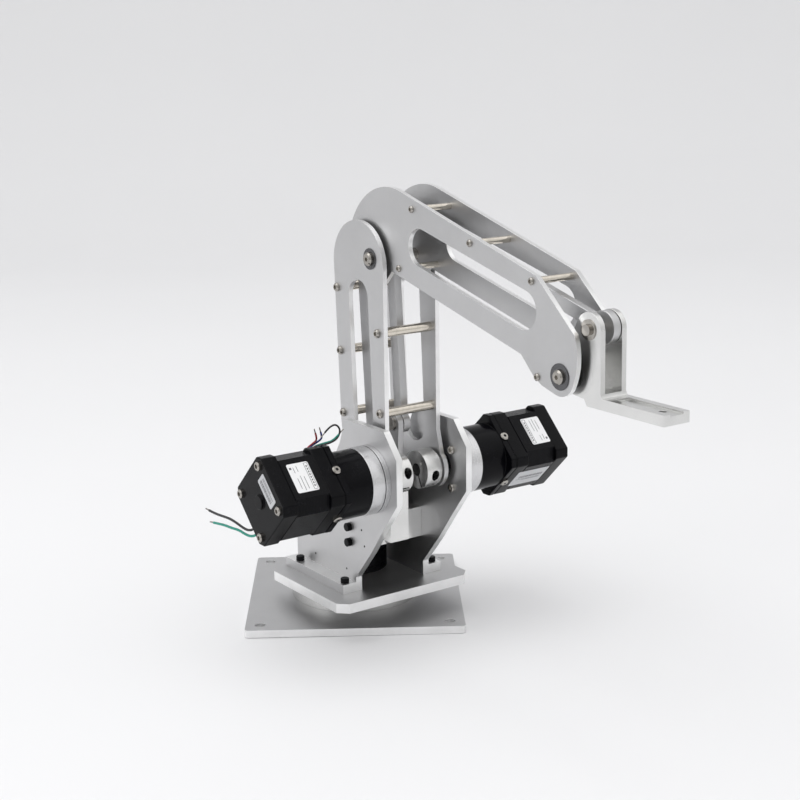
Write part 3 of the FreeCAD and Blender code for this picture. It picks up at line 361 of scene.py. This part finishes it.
def softened(name, body, width):
    """A copy of a CAD node with bevels on its sharp edges; a plate's cut edges are brighter."""
    mesh = frame["nodes"][name].data.copy()
    mesh.name = name + "_soft"
    work = bmesh.new()
    work.from_mesh(mesh)
    bmesh.ops.remove_doubles(work, verts=work.verts, dist=SAME_POINT)
    bmesh.ops.dissolve_limit(
        work, angle_limit=FLAT_ANGLE, verts=work.verts, edges=work.edges, delimit={"NORMAL"}
    )
    work.to_mesh(mesh)
    work.free()
    for leftover in ("custom_normal", "sharp_edge", "sharp_face"):
        if leftover in mesh.attributes:
            mesh.attributes.remove(mesh.attributes[leftover])
    mesh.shade_smooth()
    if name in CUT_PLATES:
        mesh.materials.append(MATERIALS["cut_edge"])
        broad = max(mesh.polygons, key=lambda face: face.area).normal.copy()
        for face in mesh.polygons:
            if abs(face.normal.dot(broad)) < EDGE_FACE_COSINE:
                face.material_index = 1
    copy = bpy.data.objects.new(name + "_soft", mesh)
    bpy.context.scene.collection.objects.link(copy)
    bevel = copy.modifiers.new("edges", "BEVEL")
    bevel.width = width * MM
    bevel.segments = 2
    bevel.limit_method = "ANGLE"
    bevel.angle_limit = SHARP_ANGLE
    normals = copy.modifiers.new("flat_faces", "WEIGHTED_NORMAL")
    normals.weight = 100
    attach(copy, body)
    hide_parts(name)


# the width of each softened node's bevels, in millimetres
SOFT_EDGES = {
    "base_plate": 0.5,
    "rotating_plate": 0.5,
    "right_upright": 0.35,
    "left_upright": 0.35,
    "right_arm_plate": 0.3,
    "left_arm_plate": 0.3,
    "right_forearm_plate": 0.3,
    "left_forearm_plate": 0.3,
    "tool_bracket": 0.3,
    "drive_link": 0.3,
    "rear_level_link": 0.3,
    "forearm_level_link": 0.4,
    "elbow_triangle": 0.3,
    "stop_block": 0.4,
    "tie_bar": 0.4,
    "level_anchor": 0.3,
    "crank_hub": 0.3,
    "arm_hub": 0.3,
    "waist_drive_motor": 0.8,
    "turntable_lower_ring": 0.4,
}
for drive in ("elbow", "shoulder"):
    SOFT_EDGES[drive + "_drive_front"] = 0.3
    SOFT_EDGES[drive + "_drive_gearbox"] = 0.5
    SOFT_EDGES[drive + "_drive_front_cap"] = 0.9
    SOFT_EDGES[drive + "_drive_rear_cap"] = 0.9
BODIES = frame["record"]["behaviour"]["bodies"]
BODY_OF = {name: body for body, names in BODIES.items() for name in names}
for piece_name, edge_width in SOFT_EDGES.items():
    softened(piece_name, BODY_OF[piece_name], edge_width)


# ---------------------------------------------------------------- motor leads
LEAD_RADIUS = 0.8
BUNDLE_RADIUS = 0.6
# name: (length in metres, look, radius, route); the first two stand for CAD nodes of their names,
# and the rest are a small bundle that leaves the back of the elbow drive's adapter
LEADS = {
    "elbow_motor_lead_black": (0.0630, "lead_black", LEAD_RADIUS, [
        (-12.22, -103.1, 85.21), (-16.4, -103.3, 81.03), (-22.5, -103.7, 78.6),
        (-29.0, -103.9, 78.7), (-37.0, -104.2, 80.1), (-45.5, -104.2, 80.6), (-56.0, -104.0, 79.6),
        (-66.0, -103.6, 78.7), (-73.0, -103.4, 78.7),
    ]),
    "elbow_motor_lead_green": (0.0596, "lead_green", LEAD_RADIUS, [
        (-9.22, -103.1, 82.21), (-13.0, -103.5, 78.43), (-18.6, -104.1, 75.9),
        (-25.5, -104.4, 75.5), (-33.0, -104.4, 76.3), (-42.5, -104.6, 75.3), (-52.0, -104.3, 74.6),
        (-61.0, -104.0, 73.2), (-66.5, -104.0, 72.4),
    ]),
    "elbow_adapter_lead_loop": (0.0375, "lead_black", BUNDLE_RADIUS, [
        (-8.6, -62.4, 124.25), (-10.4, -61.4, 126.05), (-11.3, -57.0, 126.9), (-11.2, -51.0, 127.2),
        (-10.8, -46.0, 129.2), (-10.4, -43.8, 134.4), (-10.2, -47.2, 138.8), (-10.2, -52.2, 137.6),
        (-10.2, -55.4, 134.6),
    ]),
    "elbow_adapter_lead_red": (0.0322, "lead_red", BUNDLE_RADIUS, [
        (-22.5, -62.9, 110.35), (-24.6, -62.6, 112.45), (-26.5, -61.5, 116.5),
        (-25.0, -59.8, 122.0), (-20.0, -58.0, 126.3), (-15.4, -58.4, 129.0), (-12.9, -59.8, 132.0),
        (-12.0, -61.0, 134.6),
    ]),
    "elbow_adapter_lead_blue": (0.0324, "lead_blue", BUNDLE_RADIUS, [
        (-21.5, -64.3, 111.35), (-23.6, -63.9, 113.45), (-25.2, -62.0, 117.5),
        (-23.0, -59.0, 123.2), (-17.4, -56.5, 127.4), (-13.2, -56.0, 130.2), (-11.4, -57.0, 132.8),
        (-10.8, -58.0, 135.2),
    ]),
    "elbow_adapter_lead_green": (0.033, "lead_green", BUNDLE_RADIUS, [
        (-20.0, -63.6, 112.85), (-22.1, -63.2, 114.95), (-23.6, -61.0, 119.2),
        (-20.4, -57.0, 124.2), (-14.5, -52.5, 126.8), (-11.5, -48.5, 128.2), (-10.6, -44.6, 132.2),
    ]),
}
# the bare end of a lead of LEAD_RADIUS, in millimetres
BARE_LENGTH = 5.0
STRAND_RADIUS = 0.2
STRAND_PITCH_RADIUS = 0.38
STRAND_TWIST = 2.4
STRAND_STEPS = 10


def add_lead(name, length, look, radius, points):
    """One stiff lead along its route, with a bare tinned end past the insulation."""
    data = bpy.data.curves.new(name + "_wire", "CURVE")
    data.dimensions = "3D"
    data.resolution_u = 8
    data.bevel_depth = radius * MM
    data.bevel_resolution = 4
    data.use_fill_caps = True
    spline = data.splines.new("NURBS")
    spline.points.add(len(points) - 1)
    for point, place in zip(spline.points, points):
        point.co = (*arm(*place), 1)
    spline.order_u = 3
    spline.use_endpoint_u = True
    wire = bpy.data.objects.new(name + "_wire", data)
    bpy.context.scene.collection.objects.link(wire)
    data.materials.append(MATERIALS[look])
    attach(wire, "turret")
    if name in SLOT_OF:
        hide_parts(name)

    end = arm(*points[-1])
    way = (end - arm(*points[-2])).normalized()
    tip = strands(name + "_bare_end", end, way, radius / LEAD_RADIUS)


def strands(name, start, way, scale):
    """Six tinned strands, twisted together and drawn in toward their ends."""
    work = bmesh.new()
    side = way.cross(UP).normalized()
    top = side.cross(way).normalized()
    sixth = math.pi / 3

    def around(angle, reach):
        """A step away from the lead's middle line."""
        return (side * math.cos(angle) + top * math.sin(angle)) * reach * scale * MM

    for strand in range(6):
        rings = []
        for step in range(STRAND_STEPS + 1):
            share = step / STRAND_STEPS
            angle = strand * sixth + share * STRAND_TWIST
            centre = start + way * BARE_LENGTH * MM * scale * share
            centre += around(angle, STRAND_PITCH_RADIUS * (1 - 0.3 * share))
            corners = [centre + around(corner * sixth, STRAND_RADIUS) for corner in range(6)]
            rings.append([work.verts.new(corner) for corner in corners])
        join_rings(work, rings)
    bmesh.ops.recalc_face_normals(work, faces=work.faces)
    return finish_piece(work, name, MATERIALS["bright_steel"], True)


def join_rings(work, rings):
    """A closed tube through rings of as many points each."""
    count = len(rings[0])
    for low, high in zip(rings, rings[1:]):
        for i in range(count):
            work.faces.new((low[i], low[(i + 1) % count], high[(i + 1) % count], high[i]))
    work.faces.new(list(reversed(rings[0])))
    work.faces.new(rings[-1])


def finish_piece(work, name, look, smooth=False):
    """A piece of the turret from a finished mesh."""
    mesh = bpy.data.meshes.new(name)
    for face in work.faces:
        face.smooth = smooth
    work.to_mesh(mesh)
    work.free()
    piece = bpy.data.objects.new(name, mesh)
    bpy.context.scene.collection.objects.link(piece)
    mesh.materials.append(look)
    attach(piece, "turret")
    return piece


for lead_name, lead in LEADS.items():
    add_lead(lead_name, *lead)


# ---------------------------------------------------------------- labels and small hardware
class Face:
    """A flat face of a motor: an origin on it and two directions in it, in the arm's frame."""

    def __init__(self, origin, first, second):
        self.origin = Vector(origin)
        self.first = Vector(first).normalized()
        self.second = Vector(second).normalized()
        self.out = self.first.cross(self.second)

    def point(self, u, v, lift):
        """A point over the face, in the row's frame."""
        return arm(*(self.origin + self.first * u + self.second * v + self.out * lift))


def add_slab(work, face, centre, half_u, half_v, bottom, top, cut, index):
    """A thin slab with cut corners that lies on a face."""
    u, v = centre
    in_u = half_u - cut
    in_v = half_v - cut
    loop = [
        (half_u, -in_v), (half_u, in_v), (in_u, half_v), (-in_u, half_v),
        (-half_u, in_v), (-half_u, -in_v), (-in_u, -half_v), (in_u, -half_v),
    ]
    low = [work.verts.new(face.point(u + a, v + b, bottom)) for a, b in loop]
    high = [work.verts.new(face.point(u + a, v + b, top)) for a, b in loop]
    made = [work.faces.new(high), work.faces.new(list(reversed(low)))]
    count = len(loop)
    for i in range(count):
        made.append(work.faces.new((low[i], low[(i + 1) % count], high[(i + 1) % count], high[i])))
    for quad in made:
        quad.material_index = index


LABEL_THICK = 0.12
LABEL_CORNER = 0.7
PRINT_TOP = LABEL_THICK + 0.03
PRINT_CORNER = 0.05


def add_label(name, face, half_u, half_v, paper, bars):
    """A label with printed bars; each bar is (centre u, centre v, half u, half v)."""
    work = bmesh.new()
    add_slab(work, face, (0, 0), half_u, half_v, 0.0, LABEL_THICK, LABEL_CORNER, 0)
    for u, v, bar_u, bar_v in bars:
        add_slab(work, face, (u, v), bar_u, bar_v, LABEL_THICK, PRINT_TOP, PRINT_CORNER, 1)
    piece = finish_piece(work, name, paper)
    piece.data.materials.append(LABEL_PRINT)


def text_bars():
    """Short bars in rows that stand for small print, and a row of short marks inside a frame."""
    first_row, row_pitch, row_middle, row_half = -3.6, 2.3, -3.8, 0.16
    bars = []
    for row, reach in enumerate((3.6, 5.0, 4.2)):
        bars.append((first_row + row_pitch * row, row_middle, row_half, reach))
    bars += [(first_row, 5.4, row_half, 2.0), (first_row + row_pitch, 6.0, row_half, 2.0)]
    bars.append((-5.6, 6.8, 0.7, 0.7))
    frame_u, frame_half_u, frame_half_v, line = 5.4, 1.2, 9.0, 0.14
    bars += [(frame_u + side * frame_half_u, 0, line, frame_half_v) for side in (-1, 1)]
    bars += [(frame_u, side * frame_half_v, frame_half_u, line) for side in (-1, 1)]
    first_mark, mark_pitch, marks = -6.6, 1.9, 8
    bars += [(frame_u, first_mark + mark_pitch * i, 0.42, 0.6) for i in range(marks)]
    return bars


def code_bars(half_u):
    """A row of narrow bars with two long lines beside it."""
    reach, pitch, widths = half_u * 0.8, 0.8, (0.18, 0.30, 0.12, 0.24)
    bars = []
    for i in range(int(2 * reach / pitch)):
        bars.append((-reach + pitch * i, -1.2, widths[i % len(widths)], 1.3))
    bars.append((0, 1.6, half_u * 0.78, 0.22))
    bars.append((-half_u * 0.2, 2.7, half_u * 0.55, 0.2))
    return bars


# the side drives, from the arm's middle outward, in millimetres
MOTOR_HALF = 21.15
DRIVE_FACE = 28.65
ADAPTER_FACE = 60.95
REAR_FACE = 107.95
SLANT = math.sqrt(0.5)
SIDES = (("elbow", -1), ("shoulder", 1))
LABEL_ALONG = {"elbow": 87.2, "shoulder": 90.0}
LABEL_HALF = (7.3, 9.9)
CODE_LABEL_ALONG = 84.6
CODE_LABEL_HALF = (12.9, 8.6)
REAR_LABEL_OFFSET = 11.9
REAR_LABEL_HALF = (10.0, 4.4)


def motor_face(side, rise, out_along):
    """The upper (1) or lower (-1) outward face of a side motor; u runs toward the arm."""
    origin = (MOTOR_HALF * SLANT, side * out_along, SHOULDER_HEIGHT + rise * MOTOR_HALF * SLANT)
    first = Vector((0, -side, 0))
    out = Vector((SLANT, 0, rise * SLANT))
    return Face(origin, first, out.cross(first))


def add_labels():
    """A printed label on each side motor, and a smaller one with a code on each."""
    for name, side in SIDES:
        face = motor_face(side, 1, LABEL_ALONG[name])
        add_label(name + "_motor_label", face, *LABEL_HALF, LABEL_WHITE, text_bars())
    offset = REAR_LABEL_OFFSET * SLANT
    middle = (offset, -REAR_FACE, SHOULDER_HEIGHT + offset)
    rear = Face(middle, (SLANT, 0, -SLANT), (SLANT, 0, SLANT))
    rear.out = Vector((0, -1, 0))
    bars = code_bars(REAR_LABEL_HALF[0])
    add_label("elbow_motor_code_label", rear, *REAR_LABEL_HALF, LABEL_SILVER, bars)
    under = motor_face(1, -1, CODE_LABEL_ALONG)
    bars = code_bars(CODE_LABEL_HALF[0])
    add_label("shoulder_motor_code_label", under, *CODE_LABEL_HALF, LABEL_SILVER, bars)


def add_round(work, centre, axis, radius, length, edge, segments):
    """A round head in the arm's frame: a cylinder with a chamfered outer rim."""
    axis = Vector(axis).normalized()
    side = axis.orthogonal().normalized()
    top = axis.cross(side)
    rings = []
    for reach, wide in ((0, radius), (length - edge, radius), (length, radius - edge)):
        ring = []
        for i in range(segments):
            turn = 2 * math.pi * i / segments
            offset = (side * math.cos(turn) + top * math.sin(turn)) * wide
            ring.append(work.verts.new(arm(*(Vector(centre) + axis * reach + offset))))
        rings.append(ring)
    join_rings(work, rings)


# a head is (radius, height, chamfer, corners); a side head's distance from the drive's axis comes
# first; the places of the painted-shade discs for small holes in the uprights are (out, up)
SIDE_SCREW_ALONG = ADAPTER_FACE + 3.0
SIDE_SCREW_HEAD = (21.0, 2.75, 1.7, 0.6, 32)
# painted shade: a black hexagon over each head's top stands in for the shade in its socket
SIDE_SOCKET_SHADE_DISC = (22.6, 1.1, 0.15, 0.05, 6)
# painted shade: black discs, a little proud of the uprights, stand in for small holes and the shade in them
UPRIGHT_HOLE_SHADES = ((-12.5, 66.5), (-9.5, 56.5), (-68.0, 36.0), (-30.5, 36.0))
HOLE_SHADE_SUNK = 0.4
HOLE_SHADE_DISC = (0.75, 0.5, 0.1, 16)


def add_side_heads(name, side, slot, head):
    """A head at the middle of each side of a gearbox's square end."""
    distance, *shape = head
    work = bmesh.new()
    for x, z in ((SLANT, SLANT), (SLANT, -SLANT), (-SLANT, -SLANT), (-SLANT, SLANT)):
        spot = (x * distance, side * SIDE_SCREW_ALONG, SHOULDER_HEIGHT + z * distance)
        add_round(work, spot, (x, 0, z), *shape)
    finish_piece(work, name, MATERIALS[slot])


def add_hardware():
    """Screw heads on the side drives' gearboxes with black hexagons of painted shade for their sockets, and black
    discs of painted shade for small holes in the uprights.
    """
    for name, side in SIDES:
        add_side_heads(name + "_gearbox_side_screws", side, "bright_steel", SIDE_SCREW_HEAD)
        # painted shade of the sockets, as black hexagons on the heads
        add_side_heads(name + "_gearbox_side_socket_shades", side, "black_steel", SIDE_SOCKET_SHADE_DISC)
    work = bmesh.new()
    for side in (-1, 1):
        for x, z in UPRIGHT_HOLE_SHADES:
            spot = (x, side * (DRIVE_FACE - HOLE_SHADE_SUNK), z)
            add_round(work, spot, (0, side, 0), *HOLE_SHADE_DISC)
    finish_piece(work, "upright_hole_shades", MATERIALS["black_steel"])


add_labels()
add_hardware()


# ---------------------------------------------------------------- floor and light
def add_floor():
    """A pale sweep: flat under the object and curved up behind it."""
    material, tree, shader = new_material("floor_look")
    place = position(tree)
    tone = noise(tree, place, 3.0, 2.0)
    colour = mix_colours(tree, tone, (0.78, 0.78, 0.79), (0.80, 0.80, 0.81))
    tree.links.new(colour, shader.inputs["Base Color"])
    shader.inputs["Roughness"].default_value = 0.65
    mesh = bpy.data.meshes.new("floor")
    half, front, bend, radius, height, steps = 5.0, -4.0, 1.6, 1.4, 5.0, 24
    below_base = 0.0002
    profile = [(front, 0.0), (bend, 0.0)]
    for i in range(1, steps + 1):
        turn = math.pi / 2 * i / steps
        profile.append((bend + radius * math.sin(turn), radius * (1 - math.cos(turn))))
    profile.append((bend + radius, height))
    points = [(side * half, y, z) for y, z in profile for side in (-1, 1)]
    quads = [(2 * i, 2 * i + 1, 2 * i + 3, 2 * i + 2) for i in range(len(profile) - 1)]
    mesh.from_pydata(points, [], quads)
    for face in mesh.polygons:
        face.use_smooth = True
    mesh.materials.append(material)
    floor = bpy.data.objects.new("floor", mesh)
    floor.location.z = -below_base
    bpy.context.scene.collection.objects.link(floor)


def add_light(name, place, target, width, height, power):
    """A soft rectangular light; places in metres, power in watts."""
    data = bpy.data.lights.new(name, "AREA")
    data.shape = "RECTANGLE"
    data.size = width
    data.size_y = height
    data.energy = power
    light = bpy.data.objects.new(name, data)
    light.location = place
    light.rotation_euler = (Vector(target) - Vector(place)).to_track_quat("-Z", "Y").to_euler()
    bpy.context.scene.collection.objects.link(light)


def add_world():
    """A pale tent: brightest overhead, darker on the side that the camera looks from."""
    world = bpy.data.worlds.new("studio")
    bpy.context.scene.world = world
    world.use_nodes = True
    tree = world.node_tree
    background = tree.nodes["Background"]
    background.inputs["Color"].default_value = (1.0, 1.0, 1.0, 1)
    coordinates = node(tree, "ShaderNodeTexCoord")
    parts = node(tree, "ShaderNodeSeparateXYZ")
    tree.links.new(coordinates.outputs["Generated"], parts.inputs["Vector"])
    front = ramp(tree, parts.outputs["Y"], 0.54, 0.74, -0.95, -0.25)
    above = ramp(tree, parts.outputs["Z"], 0.0, 0.5, 0.2, 0.9)
    tree.links.new(combine(tree, front, above, "ADD"), background.inputs["Strength"])


add_floor()
add_world()
add_light("top", (-0.3, -0.2, 1.7), (0, 0, 0.1), 1.6, 1.6, 9)
add_light("left", (-1.5, -0.9, 0.8), (0, 0, 0.12), 1.0, 1.2, 2.4)
bpy.context.scene.view_settings.view_transform = "Standard"
